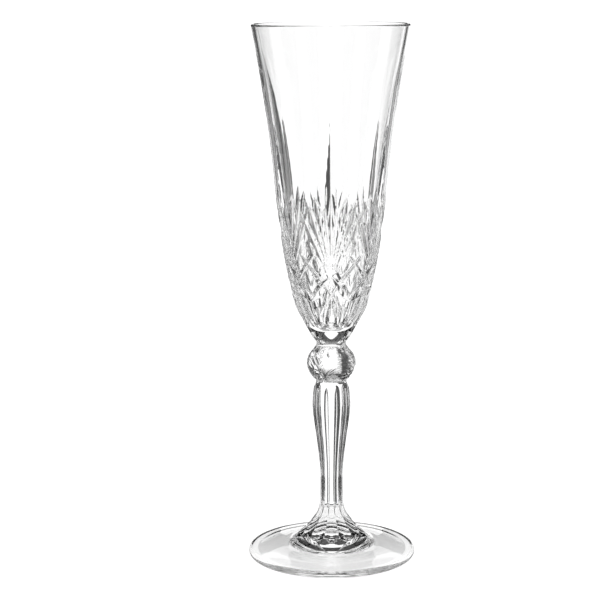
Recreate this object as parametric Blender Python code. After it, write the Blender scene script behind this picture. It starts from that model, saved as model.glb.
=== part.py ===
"""Champagne flute in pressed crystal glass: a cut bowl, a ball knop, a fluted stem and a foot.

The glass stands on the ring under its foot. The axis is +Z, and the origin is the middle of the
surface it stands on. The four sections are fused hot on the real glass, so each meets the next
face to face, with a gap of 0.3 mm between their solids. Lengths are in metres.
"""

import math

import bmesh
import bpy
from mathutils import Matrix, Vector

MM = 0.001

# Driving dimensions
HEIGHT = 215.0 * MM
SEAM = 0.3 * MM
RIM_RADIUS = 31.3 * MM
RIM_WALL = 1.6 * MM
FOOT_RADIUS = 33.9 * MM
FOOT_EDGE = 2.9 * MM
FOOT_KICK = 2.4 * MM
REST_RING_OUTER = 32.2 * MM
REST_RING_INNER = 29.6 * MM
STEM_BASE = 8.4 * MM
STEM_BASE_RADIUS = 13.3 * MM
STEM_TOP = 72.2 * MM
KNOP_TOP = 87.6 * MM
NECK_RADIUS = 5.9 * MM
BOWL_FLOOR = 95.6 * MM
FOCUS_HEIGHT = 117.8 * MM

# How many times each pattern goes round
FANS = 6
STEM_FLUTES = 12
KNOP_LOBES = 6

# The first fan, and the middle of a stem flute, face -Y
FRONT = -math.pi / 2

# Sides of the round sections
BOWL_SIDES = 60
KNOP_SIDES = 48
STEM_SIDES = 48
FOOT_SIDES = 72

CLEAR_GLASS = (0.93, 0.95, 0.94, 1.0)


def clear_the_scene():
    """Remove every object the file opened with."""
    for existing in list(bpy.data.objects):
        bpy.data.objects.remove(existing, do_unlink=True)


def glass(name, shade):
    """A clear glass finish, a shade lighter or darker than the common one."""
    material = bpy.data.materials.new(name)
    material.use_nodes = True
    surface = material.node_tree.nodes["Principled BSDF"]
    red, green, blue, alpha = CLEAR_GLASS
    surface.inputs["Base Color"].default_value = (red * shade, green * shade, blue * shade, alpha)
    surface.inputs["Roughness"].default_value = 0.02
    surface.inputs["Metallic"].default_value = 0.0
    surface.inputs["Transmission Weight"].default_value = 1.0
    surface.inputs["IOR"].default_value = 1.52
    return material


def smooth_outline(knots, steps):
    """Points along a smooth curve (Catmull-Rom) through the knots, given as (radius, height)."""
    ends = [2 * Vector(knots[0]) - Vector(knots[1])]
    ends_after = [2 * Vector(knots[-1]) - Vector(knots[-2])]
    control = ends + [Vector(knot) for knot in knots] + ends_after
    points = []
    for before, start, end, after in zip(control, control[1:], control[2:], control[3:]):
        for step in range(steps):
            t = step / steps
            points.append(
                0.5
                * (
                    2 * start
                    + (end - before) * t
                    + (2 * before - 5 * start + 4 * end - after) * t**2
                    + (3 * start - before - 3 * end + after) * t**3
                )
            )
    points.append(Vector(knots[-1]))
    return points


def scaled(knots):
    """The knots of an outline, from millimetres to metres."""
    return [(radius * MM, height * MM) for radius, height in knots]


def loft(name, outline, sides, hollow):
    """A closed solid turned round +Z from an outline that starts and ends on the axis.

    outline runs from the bottom up the outside, as (radius, height). hollow gives how far the
    surface lies below it at (turn, radius, height), so flutes and lobes come from a formula.
    """
    work = bmesh.new()
    rings = []
    for radius, height in outline[1:-1]:
        ring = []
        for side in range(sides):
            turn = 2 * math.pi * side / sides
            reach = radius - hollow(turn, radius, height)
            ring.append(work.verts.new((reach * math.cos(turn), reach * math.sin(turn), height)))
        rings.append(ring)
    for lower, upper in zip(rings, rings[1:]):
        for side in range(sides):
            after = (side + 1) % sides
            work.faces.new((lower[side], lower[after], upper[after], upper[side]))
    low_pole = work.verts.new((0, 0, outline[0][1]))
    high_pole = work.verts.new((0, 0, outline[-1][1]))
    for side in range(sides):
        after = (side + 1) % sides
        work.faces.new((low_pole, rings[0][after], rings[0][side]))
        work.faces.new((high_pole, rings[-1][side], rings[-1][after]))
    mesh = bpy.data.meshes.new(name)
    work.to_mesh(mesh)
    work.free()
    solid = bpy.data.objects.new(name, mesh)
    bpy.context.scene.collection.objects.link(solid)
    return solid


def finish(solid, material):
    """Give a solid its glass, and shade it smooth with its creases kept."""
    solid.data.materials.append(material)
    solid.data.shade_smooth()
    solid.data.set_sharp_from_angle(angle=math.radians(24))


def plain(turn, radius, height):
    """A section with no hollows."""
    return 0.0


def across_flute(turn, count, first):
    """Where a turn falls across its flute: 0 at its middle and 1 at the ridge on either side."""
    phase = (turn - first) * count / (2 * math.pi)
    return 2 * abs(phase - round(phase))


def swell(height, low, high, ease):
    """1 between two heights, easing to 0 outside them over a distance."""
    rise = min(max((height - low) / ease, 0.0), 1.0)
    fall = min(max((high - height) / ease, 0.0), 1.0)
    return min(rise, fall)


# ---- bowl ----

OUTER_BOWL = scaled(
    [
        (7.5, 90.5),
        (10.0, 94.9),
        (13.4, 101.2),
        (15.3, 106.8),
        (17.5, 116.0),
        (19.9, 130.5),
        (21.9, 147.0),
        (24.0, 168.0),
        (26.4, 185.0),
        (28.9, 201.0),
    ]
)
INNER_BOWL = scaled(
    [
        (27.2, 201.0),
        (23.8, 184.0),
        (21.0, 167.0),
        (18.7, 147.0),
        (16.6, 130.5),
        (14.0, 116.0),
        (11.5, 107.0),
        (8.2, 100.0),
        (4.2, 96.4),
    ]
)
BOWL_STEPS = 2


def bowl_outline():
    """The bowl's section: up the outside, over the fire-polished rim, and down the inside."""
    foot_of_bowl = KNOP_TOP + SEAM
    bead = RIM_WALL / 2
    bead_height = HEIGHT - bead
    outside = smooth_outline(
        [(NECK_RADIUS, foot_of_bowl)] + OUTER_BOWL + [(RIM_RADIUS, bead_height)], BOWL_STEPS
    )
    rim = [
        Vector((RIM_RADIUS - bead + bead * math.cos(turn), bead_height + bead * math.sin(turn)))
        for turn in (math.pi / 4, math.pi / 2, 3 * math.pi / 4)
    ]
    inside = smooth_outline(
        [(RIM_RADIUS - RIM_WALL, bead_height)] + INNER_BOWL + [(0.0, BOWL_FLOOR)], BOWL_STEPS
    )
    return [Vector((0.0, foot_of_bowl))] + outside + rim + inside


def wheel_edge(name, radius, half_width, reach, steps):
    """A stretch of a cutting wheel's V edge, which grinds along +Z and bites towards -X.

    The edge passes through the origin, with the wheel's centre out along +X.
    """
    work = bmesh.new()
    depth = half_width
    sections = []
    for step in range(steps + 1):
        turn = reach * (2 * step / steps - 1)
        section = []
        for inset, side in ((0.0, 0.0), (depth, half_width), (depth, -half_width)):
            arm = radius - inset
            section.append(
                work.verts.new((radius - arm * math.cos(turn), side, arm * math.sin(turn)))
            )
        sections.append(section)
    for low, high in zip(sections, sections[1:]):
        for corner in range(3):
            after = (corner + 1) % 3
            work.faces.new((low[corner], low[after], high[after], high[corner]))
    work.faces.new(reversed(sections[0]))
    work.faces.new(sections[-1])
    bmesh.ops.recalc_face_normals(work, faces=work.faces)
    mesh = bpy.data.meshes.new(name)
    work.to_mesh(mesh)
    work.free()
    cutter = bpy.data.objects.new(name, mesh)
    bpy.context.scene.collection.objects.link(cutter)
    cutter.hide_render = True
    cutter.display_type = "WIRE"
    return cutter


def outside_radius(height):
    """The bowl's outer radius at a height, read off its outline."""
    profile = [(NECK_RADIUS, KNOP_TOP)] + OUTER_BOWL + [(RIM_RADIUS, HEIGHT)]
    for (low_radius, low), (high_radius, high) in zip(profile, profile[1:]):
        if low <= height <= high:
            return low_radius + (high_radius - low_radius) * (height - low) / (high - low)
    return RIM_RADIUS


def wall_point(turn, height, inset):
    """A point of the bowl's wall at a turn and height, so far in from its outside."""
    reach = outside_radius(height) - inset
    return Vector((reach * math.cos(turn), reach * math.sin(turn), height))


def grind(bowl, label, start, end, depth, half_width):
    """Grind one V cut into the bowl between two (turn, height) places, in every fan.

    The wheel is as large as it must be for the cut to start and end at the surface.
    """
    for fan in range(FANS):
        centre_turn = FRONT + 2 * math.pi * fan / FANS
        first = wall_point(centre_turn + start[0], start[1], 0.0)
        last = wall_point(centre_turn + end[0], end[1], 0.0)
        middle_turn = centre_turn + (start[0] + end[0]) / 2
        middle = wall_point(middle_turn, (start[1] + end[1]) / 2, depth)
        along = (last - first).normalized()
        chord_middle = (first + last) / 2
        half_length = (last - first).length / 2
        sagitta = (chord_middle - middle).length
        wheel_radius = (half_length**2 + sagitta**2) / (2 * sagitta)
        outward = chord_middle - middle
        outward = (outward - outward.dot(along) * along).normalized()
        sideways = along.cross(outward)
        reach = 1.25 * math.asin(half_length / wheel_radius)
        cutter = wheel_edge(f"cutter_{label}_{fan}", wheel_radius, half_width, reach, 8)
        placing = Matrix((outward, sideways, along)).transposed().to_4x4()
        placing.translation = middle
        cutter.matrix_world = placing
        cut = bowl.modifiers.new(cutter.name, "BOOLEAN")
        cut.operation = "DIFFERENCE"
        cut.solver = "EXACT"
        cut.object = cutter


def build_bowl():
    """The bowl: a thick-walled flared cup on a solid base, ground with a fan in each sixth."""
    bowl = loft("bowl", bowl_outline(), BOWL_SIDES, plain)
    finish(bowl, glass("bowl_crystal", 1.0))
    degree = math.pi / 180
    above, below = FOCUS_HEIGHT + 3 * MM, FOCUS_HEIGHT - 3.5 * MM
    grind(bowl, "blade", (0.0, above), (0.0, 176 * MM), 1.5 * MM, 2.6 * MM)
    for side, hand in ((-1, "left"), (1, "right")):
        near = side * 3 * degree
        grind(bowl, f"{hand}_ray", (near, above), (side * 17 * degree, 148 * MM), 1.1 * MM, 1.8 * MM)
        grind(bowl, f"{hand}_leaf", (near, below), (side * 19 * degree, 100 * MM), 0.9 * MM, 1.8 * MM)
    return bowl


# ---- knop ----

OUTER_KNOP = scaled([(7.5, 85.0), (9.1, 82.7), (9.8, 79.9), (9.2, 76.7), (7.4, 74.1)])
KNOP_HOLLOW = 0.7 * MM
KNOP_TWIST = math.radians(15)


def knop_hollow(turn, radius, height):
    """Six thumbprint hollows round the ball, fading out at its top and bottom."""
    across = across_flute(turn, KNOP_LOBES, FRONT + KNOP_TWIST)
    fade = swell(height, STEM_TOP + 1.3 * MM, KNOP_TOP - 1.6 * MM, 4 * MM)
    return KNOP_HOLLOW * (1 - across**2) * fade


def build_knop():
    """The knop: a pressed ball between the bowl and the stem."""
    bottom = STEM_TOP + SEAM
    outline = smooth_outline(
        [(6.1 * MM, bottom)] + OUTER_KNOP[::-1] + [(NECK_RADIUS, KNOP_TOP)], 2
    )
    outline = [Vector((0.0, bottom))] + outline + [Vector((0.0, KNOP_TOP))]
    knop = loft("knop", outline, KNOP_SIDES, knop_hollow)
    finish(knop, glass("knop_crystal", 0.97))
    return knop


# ---- stem ----

OUTER_STEM = scaled(
    [
        (10.5, 11.0),
        (7.5, 14.9),
        (5.2, 19.6),
        (4.65, 27.0),
        (4.85, 36.5),
        (6.05, 47.5),
        (7.4, 57.0),
        (7.95, 63.5),
        (7.3, 69.5),
    ]
)
FLUTE_SHARE = 0.085


def stem_hollow(turn, radius, height):
    """Twelve hollow flutes, each a fixed share of the radius deep, shallow at their two ends."""
    across = across_flute(turn, STEM_FLUTES, FRONT)
    fade = swell(height, STEM_BASE - 1 * MM, STEM_TOP + 1 * MM, 4 * MM)
    return FLUTE_SHARE * radius * (1 - across**2) * fade


def build_stem():
    """The stem: a fluted baluster that narrows and then flares out over the foot."""
    outline = smooth_outline(
        [(STEM_BASE_RADIUS, STEM_BASE)] + OUTER_STEM + [(6.1 * MM, STEM_TOP)], 2
    )
    outline = [Vector((0.0, STEM_BASE))] + outline + [Vector((0.0, STEM_TOP))]
    stem = loft("stem", outline, STEM_SIDES, stem_hollow)
    finish(stem, glass("stem_crystal", 0.94))
    return stem


# ---- foot ----

FOOT_SLOPE = scaled([(30.5, 3.1), (25.5, 3.7), (20.5, 4.5), (16.5, 5.4)])


def build_foot():
    """The foot: a disc with a rounded edge, domed a little underneath, so it rests on a ring."""
    top = STEM_BASE - SEAM
    half_edge = FOOT_EDGE / 2
    edge_centre = FOOT_RADIUS - half_edge
    dome = [share * REST_RING_INNER for share in (0.0, 0.4, 0.7, 0.9)]
    underside = [(reach, FOOT_KICK * (1 - (reach / REST_RING_INNER) ** 2)) for reach in dome]
    underside += [(REST_RING_INNER, 0.0), (REST_RING_OUTER, 0.0)]
    edge = [
        (edge_centre + half_edge * math.cos(turn), half_edge + half_edge * math.sin(turn))
        for turn in [math.radians(angle) for angle in (-45, -20, 5, 30, 55, 80)]
    ]
    slope = smooth_outline([edge[-1]] + FOOT_SLOPE + [(STEM_BASE_RADIUS + SEAM, top)], 2)
    outline = [Vector(point) for point in underside + edge] + slope[1:] + [Vector((0.0, top))]
    foot = loft("foot", outline, FOOT_SIDES, plain)
    finish(foot, glass("foot_crystal", 0.98))
    return foot


clear_the_scene()
build_foot()
build_stem()
build_knop()
build_bowl()
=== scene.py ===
"""The looks of a champagne flute in pressed crystal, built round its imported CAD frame.

The glass is modelled as a pressing: each section is a turned blank whose outside is then sunk by
the relief of its mould. Lengths are in metres, +Z is up and a fan of the bowl faces -Y.
"""

import logging
import math
from collections.abc import Callable
from dataclasses import dataclass
from enum import Enum

import bpy
import numpy as np
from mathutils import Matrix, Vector


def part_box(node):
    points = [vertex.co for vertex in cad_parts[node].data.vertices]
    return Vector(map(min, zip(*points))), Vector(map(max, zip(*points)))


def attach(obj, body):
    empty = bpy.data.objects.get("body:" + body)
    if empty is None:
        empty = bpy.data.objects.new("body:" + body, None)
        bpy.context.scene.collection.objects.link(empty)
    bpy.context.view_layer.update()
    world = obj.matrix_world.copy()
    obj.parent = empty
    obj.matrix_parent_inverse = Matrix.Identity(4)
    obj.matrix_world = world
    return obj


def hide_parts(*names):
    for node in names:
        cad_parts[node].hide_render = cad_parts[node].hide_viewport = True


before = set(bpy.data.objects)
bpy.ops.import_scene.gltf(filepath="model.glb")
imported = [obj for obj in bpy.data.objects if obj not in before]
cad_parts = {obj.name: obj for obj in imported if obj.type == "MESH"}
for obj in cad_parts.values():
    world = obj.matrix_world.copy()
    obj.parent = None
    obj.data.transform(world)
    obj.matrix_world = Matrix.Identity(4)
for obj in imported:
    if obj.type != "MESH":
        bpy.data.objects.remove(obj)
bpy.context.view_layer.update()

LOG = logging.getLogger("flute")
MM = 0.001
BODY = "root"

# The first fan faces -Y
FRONT = -math.pi / 2
FANS = 6

# Columns round every section, shared so that the fused seams match point for point
COLUMNS = 324
# Steps of a smooth line between two of its knots, before it is laid out again by its pitch
FINE_STEPS = 40
# How far to either side of a point the relief is read for its slope
PROBE = 0.05 * MM
# Points nearer than this are one point, as at the poles and where a spin closes
WELD = 0.004 * MM
# How close to a seam a point counts as on it, and how level a face there has to be
ON_SEAM = 0.01 * MM
FUSED_WITHIN = 1e-6
FUSED_LEVEL = 0.9999
# How many vertices are matched to the outline at a time, to spare memory
MATCH_BATCH = 4096


class Section(Enum):
    """The glass's four sections, by the CAD node that each one dresses."""

    FOOT = "foot"
    STEM = "stem"
    KNOP = "knop"
    BOWL = "bowl"


def top(section: Section) -> float:
    """Return the height of a section's top in the CAD."""
    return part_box(section.value)[1].z


def bottom(section: Section) -> float:
    """Return the height of a section's underside in the CAD."""
    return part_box(section.value)[0].z


def widest(section: Section) -> float:
    """Return a section's largest radius in the CAD."""
    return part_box(section.value)[1].x


def seam_between(lower: Section, upper: Section) -> float:
    """Return the height of the fused seam between two sections, midway in their gap."""
    return (top(lower) + bottom(upper)) / 2


HEIGHT = top(Section.BOWL)
NECK_SEAM = seam_between(Section.KNOP, Section.BOWL)
KNOP_SEAM = seam_between(Section.STEM, Section.KNOP)
FOOT_SEAM = seam_between(Section.FOOT, Section.STEM)
RIM_RADIUS = widest(Section.BOWL)
FOOT_RADIUS = widest(Section.FOOT)
NECK_RADIUS = 5.95 * MM
WAIST_RADIUS = 6.2 * MM
FLARE_RADIUS = 13.4 * MM
RIM_WALL = 1.6 * MM
FOOT_EDGE = 2.9 * MM
# How far the rim's bead is turned over, to run on from the wall, in degrees
RIM_LEAN = 10.7
# Where the foot's rounded edge gives way to its slope, in degrees from outwards
EDGE_END = 80.0


def linear(code: str) -> tuple[float, float, float, float]:
    """Turn an sRGB hex colour into linear RGBA.

    Args:
        code: six hex digits, such as "F4F6F5".

    Returns:
        The colour as linear red, green and blue, with alpha 1.
    """
    channels = [int(code[place : place + 2], 16) / 255 for place in (0, 2, 4)]
    red, green, blue = [c / 12.92 if c <= 0.04045 else ((c + 0.055) / 1.055) ** 2.4 for c in channels]
    return (red, green, blue, 1.0)


# ---- finishes ----


def add_node(tree: bpy.types.NodeTree, kind: str, settings: dict, links: dict) -> bpy.types.Node:
    """Add one shader node with its settings and links.

    Args:
        tree: the material's node tree.
        kind: the node's type, such as "ShaderNodeBump".
        settings: attribute or input names, with their values.
        links: input names, with the output socket that feeds each.

    Returns:
        The new node.
    """
    node = tree.nodes.new(kind)
    for name, value in settings.items():
        if name in node.inputs:
            node.inputs[name].default_value = value
        else:
            setattr(node, name, value)
    for name, source in links.items():
        tree.links.new(source, node.inputs[name])
    return node


@dataclass(frozen=True)
class Crystal:
    """Clear pressed crystal, fire-polished after the mould.

    The polish leaves a wet, glossy skin, with the long soft waves that hot glass takes from an
    iron mould and a breath of variation in its gloss.
    """

    name: str
    tint: str = "FEFEFE"
    ior: float = 1.52
    wave: float = 7.0 * MM
    wave_height: float = 0.012 * MM
    gloss: tuple[float, float] = (0.0, 0.012)

    def build(self) -> bpy.types.Material:
        """Make the glass.

        Returns:
            The material.
        """
        material = bpy.data.materials.new(self.name)
        material.use_nodes = True
        tree = material.node_tree
        glass = tree.nodes["Principled BSDF"]
        glass.inputs["Base Color"].default_value = linear(self.tint)
        glass.inputs["IOR"].default_value = self.ior
        glass.inputs["Transmission Weight"].default_value = 1.0
        place = add_node(tree, "ShaderNodeTexCoord", {}, {})
        flow = {"Scale": 1 / self.wave, "Detail": 1.0, "Roughness": 0.4}
        waves = add_node(tree, "ShaderNodeTexNoise", flow, {"Vector": place.outputs["Object"]})
        low, high = self.gloss
        polish = add_node(
            tree,
            "ShaderNodeMapRange",
            {"To Min": low, "To Max": high},
            {"Value": waves.outputs["Fac"]},
        )
        ripple = add_node(
            tree,
            "ShaderNodeBump",
            {"Strength": 1.0, "Distance": self.wave_height},
            {"Height": waves.outputs["Fac"]},
        )
        tree.links.new(polish.outputs["Result"], glass.inputs["Roughness"])
        tree.links.new(ripple.outputs["Normal"], glass.inputs["Normal"])
        return material


@dataclass(frozen=True)
class FusedSeam:
    """The place where two hot sections became one: glass on both sides, so it bends nothing."""

    name: str = "fused_seam"

    def build(self) -> bpy.types.Material:
        """Make the seam.

        Returns:
            A material that light crosses unchanged.
        """
        material = bpy.data.materials.new(self.name)
        material.use_nodes = True
        skin = material.node_tree.nodes["Principled BSDF"]
        skin.inputs["Alpha"].default_value = 0.0
        skin.inputs["Specular IOR Level"].default_value = 0.0
        return material


# ---- outlines ----

# The distance between an outline's neighbouring points, for an array of heights
Pitch = Callable[[np.ndarray], np.ndarray]


@dataclass(frozen=True)
class Outline:
    """Points along a turned outline, each with its direction of travel.

    The rows are (radius, height, radius's share of the travel, height's share of the travel).
    """

    rows: np.ndarray

    def __add__(self, other: "Outline") -> "Outline":
        """Join another outline on, which starts where this one ends."""
        return Outline(np.vstack([self.rows, other.rows[1:]]))

    @staticmethod
    def pole(height: float, way: float) -> "Outline":
        """Return one point on the axis, crossed outwards (way 1) or inwards (way -1)."""
        return Outline(np.array([(0.0, height, way, 0.0)]))

    def after(self, pole: "Outline") -> "Outline":
        """Put a point of the axis before this outline, as the middle of a flat end."""
        return Outline(np.vstack([pole.rows, self.rows]))

    def before(self, pole: "Outline") -> "Outline":
        """Put a point of the axis after this outline, as the middle of a flat end."""
        return Outline(np.vstack([self.rows, pole.rows]))


def resampled(points: np.ndarray, pitch: Pitch) -> Outline:
    """Lay points along a fine line, so far apart as the pitch asks at each height.

    Args:
        points: the fine line, as (radius, height) rows.
        pitch: gives the distance between neighbouring points for an array of heights.

    Returns:
        The outline, with the line's own two ends.
    """
    strides = np.linalg.norm(np.diff(points, axis=0), axis=1)
    walked = np.concatenate([[0], np.cumsum(strides)])
    middles = (points[1:, 1] + points[:-1, 1]) / 2
    due = np.concatenate([[0], np.cumsum(strides / pitch(middles))])
    count = max(1, round(due[-1]))
    stops = np.interp(np.linspace(0, due[-1], count + 1), due, walked)
    travel = np.gradient(points, walked, axis=0)
    travel /= np.linalg.norm(travel, axis=1)[:, None]
    columns = [points[:, 0], points[:, 1], travel[:, 0], travel[:, 1]]
    return Outline(np.column_stack([np.interp(stops, walked, column) for column in columns]))


def curve_through(knots: list[tuple[float, float]]) -> np.ndarray:
    """Draw a fine smooth line (Catmull-Rom) through some places.

    Args:
        knots: the (radius, height) places, in metres.

    Returns:
        The line's points, as (radius, height) rows.
    """
    ends = np.array(knots, float)
    control = np.vstack([2 * ends[0] - ends[1], ends, 2 * ends[-1] - ends[-2]])
    fine = []
    for before, start, end, after in zip(control, control[1:], control[2:], control[3:]):
        for t in np.linspace(0, 1, FINE_STEPS, endpoint=False):
            fine.append(
                0.5
                * (
                    2 * start
                    + (end - before) * t
                    + (2 * before - 5 * start + 4 * end - after) * t**2
                    + (3 * start - before - 3 * end + after) * t**3
                )
            )
    return np.array(fine + [ends[-1]])


def arc(centre: tuple[float, float], radius: float, start: float, end: float, steps: int) -> Outline:
    """Lay points along an arc of the outline.

    Args:
        centre: the arc's (radius, height) centre.
        radius: the arc's own radius.
        start: the angle it starts at, in degrees from outwards, turning upwards.
        end: the angle it ends at, further up.
        steps: how many steps it takes.

    Returns:
        The arc as an outline.
    """
    turns = np.radians(np.linspace(start, end, steps + 1))
    across, up = np.cos(turns), np.sin(turns)
    return Outline(
        np.column_stack([centre[0] + radius * across, centre[1] + radius * up, -up, across])
    )


def by_height(table: list[tuple[float, float]]) -> Pitch:
    """Return a pitch that follows a table of (height in mm, pitch in mm)."""
    heights, pitches = np.array(table).T * MM
    return lambda height: np.interp(height, heights, pitches)


# The outside from the foot's edge to the rim, as (radius, height) in mm, drawn as one line so
# that it runs on smoothly over the seams
FOOT_SLOPE = [(30.5, 3.1), (25.5, 3.7), (20.5, 4.5), (16.5, 5.4)]
STEM_SIDE = [
    (10.5, 11.0),
    (7.5, 14.9),
    (5.2, 19.6),
    (4.65, 27.0),
    (4.85, 36.5),
    (6.05, 47.5),
    (7.4, 57.0),
    (7.95, 63.5),
    (7.3, 69.5),
]
KNOP_SIDE = [(7.6, 74.1), (9.3, 76.8), (9.9, 79.9), (9.2, 82.8), (7.5, 85.2)]
BOWL_SIDE = [
    (7.5, 90.3),
    (10.0, 94.7),
    (13.4, 101.0),
    (15.4, 106.8),
    (17.5, 116.0),
    (19.9, 130.5),
    (21.9, 147.0),
    (24.0, 168.0),
    (26.4, 185.0),
    (28.9, 201.0),
]
# The inside of the bowl, from the rim down to its floor, as (radius, height) in mm
BOWL_INSIDE = [
    (27.2, 201.0),
    (23.8, 184.0),
    (21.0, 167.0),
    (18.7, 147.0),
    (16.6, 130.5),
    (14.0, 116.0),
    (11.5, 107.0),
    (8.2, 99.4),
    (4.2, 95.4),
]


def rim_point(angle: float) -> tuple[float, float]:
    """Find a point of the rim's round bead.

    Args:
        angle: where on the bead, in degrees from outwards, turning upwards.

    Returns:
        The point's (radius, height).
    """
    half = RIM_WALL / 2
    turn = math.radians(angle)
    return (RIM_RADIUS - half + half * math.cos(turn), HEIGHT - half + half * math.sin(turn))


def edge_end() -> tuple[float, float]:
    """Find where the foot's rounded edge runs out onto its slope.

    Returns:
        The point's (radius, height).
    """
    half = FOOT_EDGE / 2
    turn = math.radians(EDGE_END)
    return (FOOT_RADIUS - half + half * math.cos(turn), half + half * math.sin(turn))


def outer_side(section: Section, pitch: Pitch) -> Outline:
    """Lay out one section's stretch of the outside.

    Args:
        section: the section.
        pitch: the distance between neighbouring points, by height.

    Returns:
        The stretch from the section's lower end to its upper one.
    """
    runs = {
        Section.FOOT: (edge_end(), FOOT_SLOPE),
        Section.STEM: ((FLARE_RADIUS, FOOT_SEAM), STEM_SIDE),
        Section.KNOP: ((WAIST_RADIUS, KNOP_SEAM), KNOP_SIDE),
        Section.BOWL: ((NECK_RADIUS, NECK_SEAM), BOWL_SIDE),
    }
    knots: list[tuple[float, float]] = []
    starts = []
    for first, rest in runs.values():
        starts.append(len(knots) * FINE_STEPS)
        knots += [first] + [(radius * MM, height * MM) for radius, height in rest]
    knots.append(rim_point(-RIM_LEAN))
    fine = curve_through(knots)
    starts.append(len(fine) - 1)
    place = list(runs).index(section)
    return resampled(fine[starts[place] : starts[place + 1] + 1], pitch)


# ---- the mould's relief ----


def soft_max(one: np.ndarray, other: np.ndarray, ease: float) -> np.ndarray:
    """Return the larger of two depths, with the crease between them rounded over.

    Args:
        one: a depth at each place.
        other: another depth at each place.
        ease: how far apart the two are where the rounding ends.

    Returns:
        The blended depth at each place.
    """
    near = np.clip(ease - np.abs(one - other), 0, None)
    return np.maximum(one, other) + near**2 / (4 * ease)


@dataclass(frozen=True)
class Mark:
    """One mark of the mould, long and narrow: a line across the wall with a depth along it.

    Places are (turn in degrees from the fan's middle, height in mm), and sizes are in mm.
    """

    start: tuple[float, float]
    end: tuple[float, float]
    depth: float

    def along_and_aside(
        self, turn: np.ndarray, height: np.ndarray, radius: np.ndarray
    ) -> tuple[np.ndarray, np.ndarray]:
        """Measure where places lie along and beside the mark.

        Args:
            turn: each place's turn from the fan's middle, in radians.
            height: each place's height, in mm.
            radius: each place's radius, in mm.

        Returns:
            Each place's share of the way along the mark, and its distance aside in mm.
        """
        lean = math.radians(self.end[0] - self.start[0]) * radius
        rise = self.end[1] - self.start[1]
        across = (turn - math.radians(self.start[0])) * radius
        up = height - self.start[1]
        length = np.hypot(lean, rise)
        return (across * lean + up * rise) / length**2, (across * rise - up * lean) / length


@dataclass(frozen=True)
class Groove(Mark):
    """A V groove, pointed at both ends.

    `flank` is how steep its sides are, `deepest` where along it the groove is deepest, `fullness`
    how long it keeps its depth towards its ends (2 is a round wheel's cut), and `bottom` how far
    its bottom is rounded.
    """

    flank: float = 0.6
    deepest: float = 0.5
    fullness: float = 2.0
    bottom: float = 0.12

    def sunk(self, turn: np.ndarray, height: np.ndarray, radius: np.ndarray) -> np.ndarray:
        """Work out the groove's depth.

        Args:
            turn: each place's turn from the fan's middle, in radians.
            height: each place's height, in mm.
            radius: each place's radius, in mm.

        Returns:
            The depth at each place in mm, below zero outside the groove.
        """
        share, aside = self.along_and_aside(turn, height, radius)
        reach = np.where(share < self.deepest, self.deepest, 1 - self.deepest)
        away = np.abs(share - self.deepest) / reach
        slope = np.sqrt(aside**2 + self.bottom**2) - self.bottom
        return self.depth * (1 - away**self.fullness) - slope * self.flank


@dataclass(frozen=True)
class Hollow(Mark):
    """An oval hollow, as a thumb would leave, steeper at its foot when it is deepest there."""

    width: float = 4.0
    deepest: float = 0.5

    def sunk(self, turn: np.ndarray, height: np.ndarray, radius: np.ndarray) -> np.ndarray:
        """Work out the hollow's depth.

        Args:
            turn: each place's turn from the fan's middle, in radians.
            height: each place's height, in mm.
            radius: each place's radius, in mm.

        Returns:
            The depth at each place in mm, below zero outside the hollow.
        """
        share, aside = self.along_and_aside(turn, height, radius)
        reach = np.where(share < self.deepest, self.deepest, 1 - self.deepest)
        away = (share - self.deepest) / reach
        return self.depth * (1 - away**2 - (2 * aside / self.width) ** 2)


def pressed(
    marks: list[Mark],
    turn: np.ndarray,
    height: np.ndarray,
    radius: np.ndarray,
    repeats: int,
    ease: float,
) -> np.ndarray:
    """Work out how far a repeated, mirrored set of marks sinks a wall.

    Args:
        marks: the marks of one repeat's right half.
        turn: each place's turn from the front, in radians.
        height: each place's height, in metres.
        radius: each place's radius, in metres.
        repeats: how many times the marks go round.
        ease: how softly creases are rounded, in mm of depth.

    Returns:
        The depth at each place, in metres.
    """
    repeat = 2 * math.pi / repeats
    folded = (turn + repeat / 2) % repeat - repeat / 2
    up, reach = height / MM, radius / MM
    total = np.zeros_like(turn)
    for mark in marks:
        for shift in (-repeat, 0.0, repeat):
            for side in (-1, 1):
                total = soft_max(total, mark.sunk(side * (folded - shift), up, reach), ease)
    return total * MM


# ---- turned and pressed pieces ----


def deselect() -> None:
    """Leave no object selected or active."""
    if bpy.context.mode != "OBJECT":
        bpy.ops.object.mode_set(mode="OBJECT")
    bpy.ops.object.select_all(action="DESELECT")
    bpy.context.view_layer.objects.active = None


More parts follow.
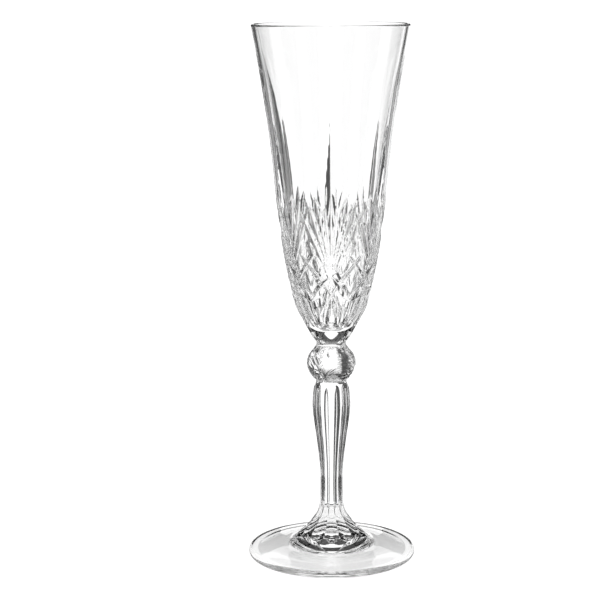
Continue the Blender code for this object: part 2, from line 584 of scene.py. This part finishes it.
def turned(name: str, outline: Outline) -> bpy.types.Object:
    """Turn a solid: draw its outline by extruding a point, then spin it round the axis.

    Args:
        name: the piece's name.
        outline: the outline, from the bottom middle up the outside.

    Returns:
        The new object, at the origin, with one vertex at each pole.
    """
    deselect()
    places = outline.rows[:, :2]
    first = Vector((places[0][0], 0.0, places[0][1]))
    bpy.ops.mesh.primitive_plane_add(size=1.0 * MM, location=first)
    blank = bpy.context.active_object
    blank.name = blank.data.name = name
    bpy.ops.object.transform_apply(location=True, rotation=True, scale=True)
    bpy.ops.object.mode_set(mode="EDIT")
    bpy.ops.mesh.select_all(action="SELECT")
    bpy.ops.mesh.merge(type="CENTER")
    for before, after in zip(places, places[1:]):
        step = (after[0] - before[0], 0.0, after[1] - before[1])
        bpy.ops.mesh.extrude_region_move(TRANSFORM_OT_translate={"value": step})
    bpy.ops.mesh.select_all(action="SELECT")
    bpy.ops.mesh.spin(steps=COLUMNS, angle=2 * math.pi, center=(0, 0, 0), axis=(0, 0, 1))
    bpy.ops.mesh.select_all(action="SELECT")
    bpy.ops.mesh.remove_doubles(threshold=WELD)
    bpy.ops.mesh.select_all(action="SELECT")
    bpy.ops.mesh.normals_make_consistent(inside=False)
    bpy.ops.object.mode_set(mode="OBJECT")
    return blank


def read_points(piece: bpy.types.Object) -> np.ndarray:
    """Read a piece's vertices.

    Args:
        piece: the object.

    Returns:
        Rows of x, y and z.
    """
    flat = np.zeros(len(piece.data.vertices) * 3)
    piece.data.vertices.foreach_get("co", flat)
    return flat.reshape(-1, 3)


def nearest_rows(outline: Outline, reach: np.ndarray, height: np.ndarray) -> np.ndarray:
    """Match each vertex to the outline point that it was spun from.

    Args:
        outline: the section's outline.
        reach: each vertex's distance from the axis.
        height: each vertex's height.

    Returns:
        The index of the outline point for each vertex.
    """
    rows = np.zeros(len(reach), int)
    for start in range(0, len(reach), MATCH_BATCH):
        part = slice(start, start + MATCH_BATCH)
        gap = (reach[part, None] - outline.rows[None, :, 0]) ** 2
        gap += (height[part, None] - outline.rows[None, :, 1]) ** 2
        rows[part] = gap.argmin(1)
    return rows


@dataclass
class Pressing:
    """One section of the glass: a turned blank, sunk by its mould's relief.

    `name` is the piece's name, `node` the CAD node it stands for, and `seams` the heights of its
    fused ends.
    """

    name: str
    node: str
    finish: Crystal
    seams: tuple[float, ...] = ()

    def outline(self) -> Outline:
        """Return the section's outline, from its bottom middle up its outside."""
        raise NotImplementedError

    def relief(self, turn: np.ndarray, radius: np.ndarray, height: np.ndarray) -> np.ndarray:
        """Return how far the mould sinks the outside at each place, in metres."""
        return np.zeros_like(turn)

    def shaped(self, outline: Outline) -> np.ndarray:
        """Return, for each outline point, whether the mould's relief shapes it."""
        return np.zeros(len(outline.rows), bool)

    def build(self) -> bpy.types.Object:
        """Make the section's mesh, sunk by its relief and shaded by its true slopes.

        Returns:
            The section's object, at the origin.
        """
        outline = self.outline()
        piece = turned(self.name, outline)
        points = read_points(piece)
        reach = np.hypot(points[:, 0], points[:, 1])
        rows = nearest_rows(outline, reach, points[:, 2])
        column = np.round(np.arctan2(points[:, 1], points[:, 0]) * COLUMNS / (2 * math.pi))
        turn = column * 2 * math.pi / COLUMNS
        radius, height, run, rise = outline.rows[rows].T
        sunk = self.shaped(outline)[rows]
        depth, along, around = np.zeros((3, len(points)))
        facing = turn[sunk] - FRONT
        low, high = radius[sunk], height[sunk]
        depth[sunk] = self.relief(facing, low, high)
        step_r, step_z = run[sunk] * PROBE, rise[sunk] * PROBE
        ahead = self.relief(facing, low + step_r, high + step_z)
        behind = self.relief(facing, low - step_r, high - step_z)
        along[sunk] = (ahead - behind) / (2 * PROBE)
        swing = PROBE / low
        left = self.relief(facing + swing, low, high)
        right = self.relief(facing - swing, low, high)
        around[sunk] = (left - right) / (2 * PROBE)
        self.place(piece, turn, radius - depth * rise, height + depth * run)
        outward = rise + along * run
        upward = -run + along * rise
        self.shade(piece, turn, outward, upward, around)
        return piece

    def place(
        self, piece: bpy.types.Object, turn: np.ndarray, reach: np.ndarray, height: np.ndarray
    ) -> None:
        """Move each vertex to its place.

        Args:
            piece: the section's object.
            turn: each vertex's turn.
            reach: its distance from the axis.
            height: its height.
        """
        points = np.column_stack([reach * np.cos(turn), reach * np.sin(turn), height])
        piece.data.vertices.foreach_set("co", points.ravel())
        piece.data.update()

    def shade(
        self,
        piece: bpy.types.Object,
        turn: np.ndarray,
        outward: np.ndarray,
        upward: np.ndarray,
        around: np.ndarray,
    ) -> None:
        """Shade the section smooth, with normals from the slopes of its relief.

        Args:
            piece: the section's object.
            turn: each vertex's turn.
            outward: the normal's part away from the axis.
            upward: its part along +Z.
            around: its part along the turn.
        """
        normals = np.column_stack(
            [
                outward * np.cos(turn) - around * np.sin(turn),
                outward * np.sin(turn) + around * np.cos(turn),
                upward,
            ]
        )
        normals /= np.linalg.norm(normals, axis=1)[:, None]
        piece.data.shade_smooth()
        piece.data.normals_split_custom_set_from_vertices(normals.tolist())

    def dress(self, piece: bpy.types.Object, seam: bpy.types.Material) -> None:
        """Give the section its glass, and its fused ends the seam that bends nothing.

        Args:
            piece: the section's object.
            seam: the material of a fused end.
        """
        piece.data.materials.append(self.finish.build())
        piece.data.materials.append(seam)
        middles = np.zeros(len(piece.data.polygons) * 3)
        facings = np.zeros(len(piece.data.polygons) * 3)
        piece.data.polygons.foreach_get("center", middles)
        piece.data.polygons.foreach_get("normal", facings)
        level = np.abs(facings[2::3]) > FUSED_LEVEL
        at_seam = [np.abs(middles[2::3] - height) < FUSED_WITHIN for height in self.seams]
        fused = np.any(at_seam, axis=0) & level if at_seam else np.zeros_like(level)
        piece.data.polygons.foreach_set("material_index", fused.astype(int))
        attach(piece, BODY)
        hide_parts(self.node)
        LOG.info("%s: %d faces, %d fused", piece.name, len(level), int(fused.sum()))


@dataclass
class Bowl(Pressing):
    """The flared cup on its solid base, with a fan of rays and leaves in each sixth."""

    floor: float = 94.6 * MM
    pattern_bottom: float = 92.0 * MM
    pattern_top: float = 184.0 * MM
    rim_steps: int = 12
    ease: float = 0.09

    def outline(self) -> Outline:
        """Lay out the bowl: neck, outside, rim, inside and floor.

        Returns:
            The outline, close-set on the pattern and wide on the plain wall.
        """
        bead = RIM_WALL / 2
        outer_pitch = [(90, 0.5), (93, 0.31), (150, 0.31), (153, 0.9), (180, 1.1), (190, 2.6)]
        inner_pitch = [(96, 1.0), (105, 1.4), (120, 4.0), (200, 5.0)]
        side = outer_side(Section.BOWL, by_height(outer_pitch))
        middle = (RIM_RADIUS - bead, HEIGHT - bead)
        rim = arc(middle, bead, -RIM_LEAN, 180 - RIM_LEAN, self.rim_steps)
        knots = [rim_point(180 - RIM_LEAN)]
        knots += [(radius * MM, height * MM) for radius, height in BOWL_INSIDE]
        knots.append((0.0, self.floor))
        inside = resampled(curve_through(knots), by_height(inner_pitch))
        return (side + rim + inside).after(Outline.pole(NECK_SEAM, 1.0))

    def shaped(self, outline: Outline) -> np.ndarray:
        """Return which outline points lie on the patterned part of the outside."""
        height = outline.rows[:, 1]
        before_rim = np.arange(len(height)) < height.argmax()
        return before_rim & (height > self.pattern_bottom) & (height < self.pattern_top)

    def marks(self) -> list[Mark]:
        """List the marks of one fan's right half, from its tip down to its petals.

        Returns:
            The marks, where a mark on the middle line is its own mirror image.
        """
        rays = [
            Groove((0, 121.5), (0, 178.5), 1.45, 0.62, 0.5, 1.15),
            Groove((1.2, 121.5), (6.8, 146), 0.4, 0.48, 0.6),
            Groove((2, 121), (16.8, 150), 0.72, 0.46, 0.6),
            Groove((3.6, 120.5), (26.2, 148), 0.8, 0.46, 0.6),
            Groove((5, 119), (36, 144), 0.95, 0.44, 0.5),
        ]
        leaves = [
            Hollow((12.5, 118.8), (20, 128.5), 0.6, 4.4, 0.35),
            Hollow((18.8, 124.8), (26.5, 135), 0.6, 4.4, 0.35),
            Hollow((28.5, 131.0), (31.5, 142), 0.45, 3.8, 0.35),
        ]
        lattice = [
            Groove((-42, 127.1), (-12, 115.5), 0.5, 0.7, 0.5, 6.0),
            Groove((-14, 116.3), (31, 96.4), 0.55, 0.7, 0.55, 6.0),
            Hollow((29, 109.5), (30, 120.5), 0.5, 5.6, 0.4),
        ]
        lower = [
            Groove((1, 117.6), (32, 106.9), 1.1, 0.6, 0.6),
            Groove((0, 114), (0, 98.5), 0.5, 0.55, 0.5),
            Groove((2, 115), (13, 99.5), 0.55, 0.55, 0.55),
        ]
        petals = [
            Hollow((0, 95.6), (0, 106), 0.75, 4.6, 0.35),
            Hollow((23, 95.8), (20, 105), 0.7, 3.6, 0.35),
        ]
        return rays + leaves + lattice + lower + petals

    def relief(self, turn: np.ndarray, radius: np.ndarray, height: np.ndarray) -> np.ndarray:
        """Return how far the fans sink the outside at each place, in metres."""
        return pressed(self.marks(), turn, height, radius, FANS, self.ease)


@dataclass
class Knop(Pressing):
    """The pressed ball between bowl and stem, wrapped in shell-shaped petals."""

    petals: int = 3
    petal_middle: float = math.radians(30)
    petal_ease: float = 0.08
    scallop_ease: float = 0.06
    ripple: float = 1.6
    ripple_height: float = 0.06
    ripple_start: float = 1.5
    neck_fade: float = 2.0 * MM
    waist_fade: float = 0.8 * MM

    def outline(self) -> Outline:
        """Return the ball's outline, from the waist over the belly to the neck."""
        side = outer_side(Section.KNOP, by_height([(72, 0.25), (88, 0.25)]))
        return side.after(Outline.pole(KNOP_SEAM, 1.0)).before(Outline.pole(NECK_SEAM, -1.0))

    def shaped(self, outline: Outline) -> np.ndarray:
        """Return which outline points the petals shape: all but the two seams."""
        height = outline.rows[:, 1]
        return (height > KNOP_SEAM + ON_SEAM) & (height < NECK_SEAM - ON_SEAM)

    def relief(self, turn: np.ndarray, radius: np.ndarray, height: np.ndarray) -> np.ndarray:
        """Work out how far the petals, their ripples and the shoulder scallops sink the ball.

        Args:
            turn: each place's turn from the front, in radians.
            radius: each place's radius, in metres.
            height: each place's height, in metres.

        Returns:
            The depth at each place, in metres.
        """
        turn = turn - self.petal_middle
        notch = [
            Groove((60, 72.5), (50, 80.0), 1.3, 0.8, 0.35),
            Groove((60, 72.5), (71, 81.0), 1.3, 0.8, 0.35),
            Hollow((60, 72.8), (60, 77.5), 0.5, 3.0, 0.4),
        ]
        leaves = pressed(notch, turn, height, radius, self.petals, self.petal_ease)
        scallops = [Hollow((0, 83.2), (0, 87.2), 0.6, 3.6, 0.3)]
        shoulder = pressed(scallops, turn, height, radius, 2 * FANS, self.scallop_ease)
        repeat = 2 * math.pi / self.petals
        folded = (turn + repeat / 2) % repeat - repeat / 2
        from_root = np.hypot(folded * radius, height - KNOP_SEAM) / MM
        wave = self.ripple_height * (1 + np.cos(2 * math.pi * from_root / self.ripple))
        off_root = np.clip((from_root - self.ripple_start) / self.ripple_start, 0, 1)
        off_neck = np.clip((NECK_SEAM - height) / self.neck_fade, 0, 1)
        off_waist = np.clip((height - KNOP_SEAM) / self.waist_fade, 0, 1)
        return (leaves + shoulder + wave * (off_root * off_neck) * MM) * off_waist


@dataclass
class Stem(Pressing):
    """The baluster: twelve hollow flutes with crisp ridges, flaring out over the foot.

    A flute sinks by `share` of the radius, and its lower end is an arch that rises by `arch`.
    """

    flutes: int = 12
    share: float = 0.07
    arch: float = 1.6 * MM
    low_ease: float = 2.2 * MM
    high_ease: float = 5.0 * MM

    def outline(self) -> Outline:
        """Return the stem's outline, from the flare up to the waist under the ball."""
        side = outer_side(Section.STEM, by_height([(8, 0.3), (20, 0.4), (60, 0.5), (72, 0.4)]))
        return side.after(Outline.pole(FOOT_SEAM, 1.0)).before(Outline.pole(KNOP_SEAM, -1.0))

    def shaped(self, outline: Outline) -> np.ndarray:
        """Return which outline points the flutes shape: all but the two seams."""
        height = outline.rows[:, 1]
        return (height > FOOT_SEAM + ON_SEAM) & (height < KNOP_SEAM - ON_SEAM)

    def relief(self, turn: np.ndarray, radius: np.ndarray, height: np.ndarray) -> np.ndarray:
        """Work out how far the flutes sink the stem, easing out at its two seams.

        Args:
            turn: each place's turn from the front, in radians.
            radius: each place's radius, in metres.
            height: each place's height, in metres.

        Returns:
            The depth at each place, in metres.
        """
        step = 2 * math.pi / self.flutes
        across = 2 * ((turn + step / 2) % step / step - 0.5)
        end = FOOT_SEAM + self.arch * across**2
        below = np.clip((height - end) / self.low_ease, 0, 1)
        above = np.clip((KNOP_SEAM - height) / self.high_ease, 0, 1)
        fade = np.sqrt(below) * above * (2 - above)
        return self.share * radius * (1 - across**2) * fade


@dataclass
class Foot(Pressing):
    """The disc: a rounded edge, a gentle slope to the stem and a domed underside."""

    kick: float = 2.4 * MM
    ring: tuple[float, float] = (29.6 * MM, 32.2 * MM)
    edge_start: float = -75.0
    edge_steps: int = 20
    dome_steps: int = 120
    underside_pitch: float = 0.7

    def outline(self) -> Outline:
        """Lay out the foot: the dome, the resting ring, the edge and the slope.

        Returns:
            The outline, from the middle of the dome to the seam under the stem.
        """
        inner_ring, outer_ring = self.ring
        half = FOOT_EDGE / 2
        start = math.radians(self.edge_start)
        first = (FOOT_RADIUS - half + half * math.cos(start), half + half * math.sin(start))
        reaches = np.linspace(0, inner_ring, self.dome_steps)
        dome = np.column_stack([reaches, self.kick * (1 - (reaches / inner_ring) ** 2)])
        flat = np.vstack([dome, (outer_ring, 0.0), first])
        underside = resampled(flat, by_height([(0.0, self.underside_pitch)]))
        edge = arc((FOOT_RADIUS - half, half), half, self.edge_start, EDGE_END, self.edge_steps)
        slope = outer_side(Section.FOOT, by_height([(3, 0.5), (9, 0.4)]))
        return (underside + edge + slope).before(Outline.pole(FOOT_SEAM, -1.0))


# ---- the studio ----


class Felt(Enum):
    """The felts that face the studio cards, as sRGB hex."""

    BLACK = "101010"
    DARK_GREY = "404040"
    GREY = "505050"


@dataclass(frozen=True)
class Card:
    """A studio card, swept round the glass between two (radius, height) points in metres.

    The sweep runs from `start` to `end` degrees, counted from straight behind the glass (+Y)
    towards +X. The card is faced with `felt`.
    """

    name: str
    low: tuple[float, float]
    high: tuple[float, float]
    start: float
    end: float
    felt: Felt


@dataclass
class Studio:
    """A white floor under a white sky, with dark cards that only the glass sees.

    A black ring stands round the glass between the two elevations of `ring`, with four windows in
    it. Below the ring stand the walls, and in front of each wall a runner and an apron lie on the
    floor. A narrow black ring on the floor under the foot's edge is a painted shadow. It stands in
    for the contact shadow that the glowing floor takes away, and it draws the edge of the foot dark
    in the glass. Elevations and turns are in degrees, and reaches from the axis in metres.
    """

    floor_radius: float = 9.0
    floor_sides: int = 96
    floor_base: float = 0.3
    floor_roughness: float = 0.9
    sky: float = 1.15
    table_glow: float = 0.85
    card_away: float = 3.0
    card_step: float = 4.0
    card_lift: float = 1.0 * MM
    apron: tuple[float, float] = (0.042, 0.13)
    # Reaches of the black ring under the foot's edge, a painted shadow in place of the contact shadow
    # on the floor
    edge_painted_shadow: tuple[float, float] = (0.0325, 0.041)
    edge_lift: float = 0.1 * MM
    ring: tuple[float, float] = (8.5, 48.0)
    window: tuple[float, float] = (23.0, 29.5)
    window_width: float = 32.0
    window_middles: tuple[int, ...] = (-180, -90, 0, 90)
    darks: tuple[tuple[int, int], ...] = (
        (-80, -50),
        (-40, -14),
        (24, 40),
        (50, 80),
        (100, 128),
        (142, 162),
        (-162, -142),
        (-128, -100),
    )
    aprons: tuple[tuple[int, int], ...] = (
        (-84, -14),
        (24, 84),
        (96, 166),
        (-166, -96),
    )
    camera_away: float = 707.4 * MM
    camera_height: float = 235.3 * MM
    camera_pitch: float = 10.409
    camera_yaw: float = 0.96
    camera_roll: float = 0.29
    lens: float = 107.57
    sensor: float = 36.0
    bounces: int = 32

    def build(self) -> None:
        """Set out the floor, sky, cards and camera."""
        self.add_sky()
        self.add_floor()
        for card in self.cards():
            self.add_card(card)
        self.add_camera()

    def cards(self) -> list[Card]:
        """List the dark cards, which draw the edges and the facets of the glass. The edge card among
        them is a painted shadow: a black ring under the foot, in place of its contact shadow.

        Returns:
            The cards, each with a name of its own.
        """
        away = self.card_away
        near, middle = [(reach, self.card_lift) for reach in self.apron]
        foot = (away, self.card_lift)
        low, high = [(away, away * math.tan(math.radians(rise))) for rise in self.ring]
        sill, lintel = [(away, away * math.tan(math.radians(rise))) for rise in self.window]
        inner, outer = [(reach, self.edge_lift) for reach in self.edge_painted_shadow]
        cards = [
            Card("ring_low", low, sill, -180, 180, Felt.BLACK),
            Card("ring_high", lintel, high, -180, 180, Felt.BLACK),
            # Painted shadow: a black ring under the foot's edge, seen only by the glass, in place of
            # the contact shadow that the glowing floor lacks
            Card("edge", inner, outer, -180, 180, Felt.BLACK),
        ]
        half = self.window_width / 2
        for side in self.window_middles:
            start, end = side + half, side + 90 - half
            cards.append(Card(f"post_{side}", sill, lintel, start, end, Felt.BLACK))
        for start, end in self.darks:
            cards.append(Card(f"wall_{start}", foot, low, start, end, Felt.GREY))
            cards.append(Card(f"runner_{start}", middle, foot, start, end, Felt.GREY))
        for start, end in self.aprons:
            cards.append(Card(f"apron_{start}", near, middle, start, end, Felt.DARK_GREY))
        return cards

    def add_sky(self) -> None:
        """Light everything from a white sky."""
        world = bpy.data.worlds.new("sky")
        world.use_nodes = True
        background = world.node_tree.nodes["Background"]
        background.inputs["Color"].default_value = (1, 1, 1, 1)
        background.inputs["Strength"].default_value = self.sky
        bpy.context.scene.world = world

    def add_floor(self) -> None:
        """Lay the white floor."""
        deselect()
        bpy.ops.mesh.primitive_circle_add(
            vertices=self.floor_sides, radius=self.floor_radius, fill_type="NGON"
        )
        floor = bpy.context.active_object
        floor.name = "floor"
        material = bpy.data.materials.new("white_floor")
        material.use_nodes = True
        paint = material.node_tree.nodes["Principled BSDF"]
        paint.inputs["Base Color"].default_value = (*[self.floor_base] * 3, 1)
        paint.inputs["Emission Color"].default_value = (1, 1, 1, 1)
        paint.inputs["Emission Strength"].default_value = self.table_glow
        paint.inputs["Roughness"].default_value = self.floor_roughness
        paint.inputs["Specular IOR Level"].default_value = 0.0
        floor.data.materials.append(material)

    def add_card(self, card: Card) -> None:
        """Hang one card, which the glass sees and neither the camera nor the floor does.

        Args:
            card: the card.
        """
        steps = max(2, round((card.end - card.start) / self.card_step))
        turns = math.pi / 2 - np.radians(np.linspace(card.start, card.end, steps + 1))
        points = [
            (reach * math.cos(turn), reach * math.sin(turn), height)
            for reach, height in (card.low, card.high)
            for turn in turns
        ]
        faces = [(i, i + 1, i + steps + 2, i + steps + 1) for i in range(steps)]
        mesh = bpy.data.meshes.new(f"card_{card.name}")
        mesh.from_pydata(points, [], faces)
        card_object = bpy.data.objects.new(mesh.name, mesh)
        bpy.context.scene.collection.objects.link(card_object)
        material = bpy.data.materials.new(mesh.name)
        material.use_nodes = True
        felt = material.node_tree.nodes["Principled BSDF"]
        felt.inputs["Base Color"].default_value = linear(card.felt.value)
        felt.inputs["Roughness"].default_value = 1.0
        felt.inputs["Specular IOR Level"].default_value = 0.0
        mesh.materials.append(material)
        card_object.visible_camera = False
        card_object.visible_shadow = False
        card_object.visible_diffuse = False

    def add_camera(self) -> None:
        """Place the camera, a long lens a little above the rim and looking down.

        Light may bounce often, because it crosses many walls and cuts of the glass.
        """
        data = bpy.data.cameras.new("camera")
        data.lens = self.lens
        data.sensor_width = self.sensor
        camera = bpy.data.objects.new("camera", data)
        bpy.context.scene.collection.objects.link(camera)
        camera.location = (0.0, -self.camera_away, self.camera_height)
        camera.rotation_euler = (
            math.radians(90 - self.camera_pitch),
            math.radians(self.camera_roll),
            math.radians(self.camera_yaw),
        )
        bpy.context.scene.camera = camera
        bpy.context.scene.view_settings.view_transform = "Standard"
        cycles = bpy.context.scene.cycles
        cycles.max_bounces = self.bounces
        cycles.transmission_bounces = self.bounces
        cycles.glossy_bounces = self.bounces
        cycles.transparent_max_bounces = 2 * self.bounces


def main() -> None:
    """Build the studio and the glass, section by section."""
    logging.basicConfig(level=logging.INFO, format="%(name)s: %(message)s")
    Studio().build()
    seam = FusedSeam().build()
    sections = [
        Foot("glass_foot", "foot", Crystal("pressed_foot_crystal"), (FOOT_SEAM,)),
        Stem("glass_stem", "stem", Crystal("pressed_stem_crystal"), (FOOT_SEAM, KNOP_SEAM)),
        Knop("glass_knop", "knop", Crystal("pressed_knop_crystal"), (KNOP_SEAM, NECK_SEAM)),
        Bowl("glass_bowl", "bowl", Crystal("pressed_bowl_crystal"), (NECK_SEAM,)),
    ]
    for section in sections:
        section.dress(section.build(), seam)


if __name__ == "__main__":
    main()
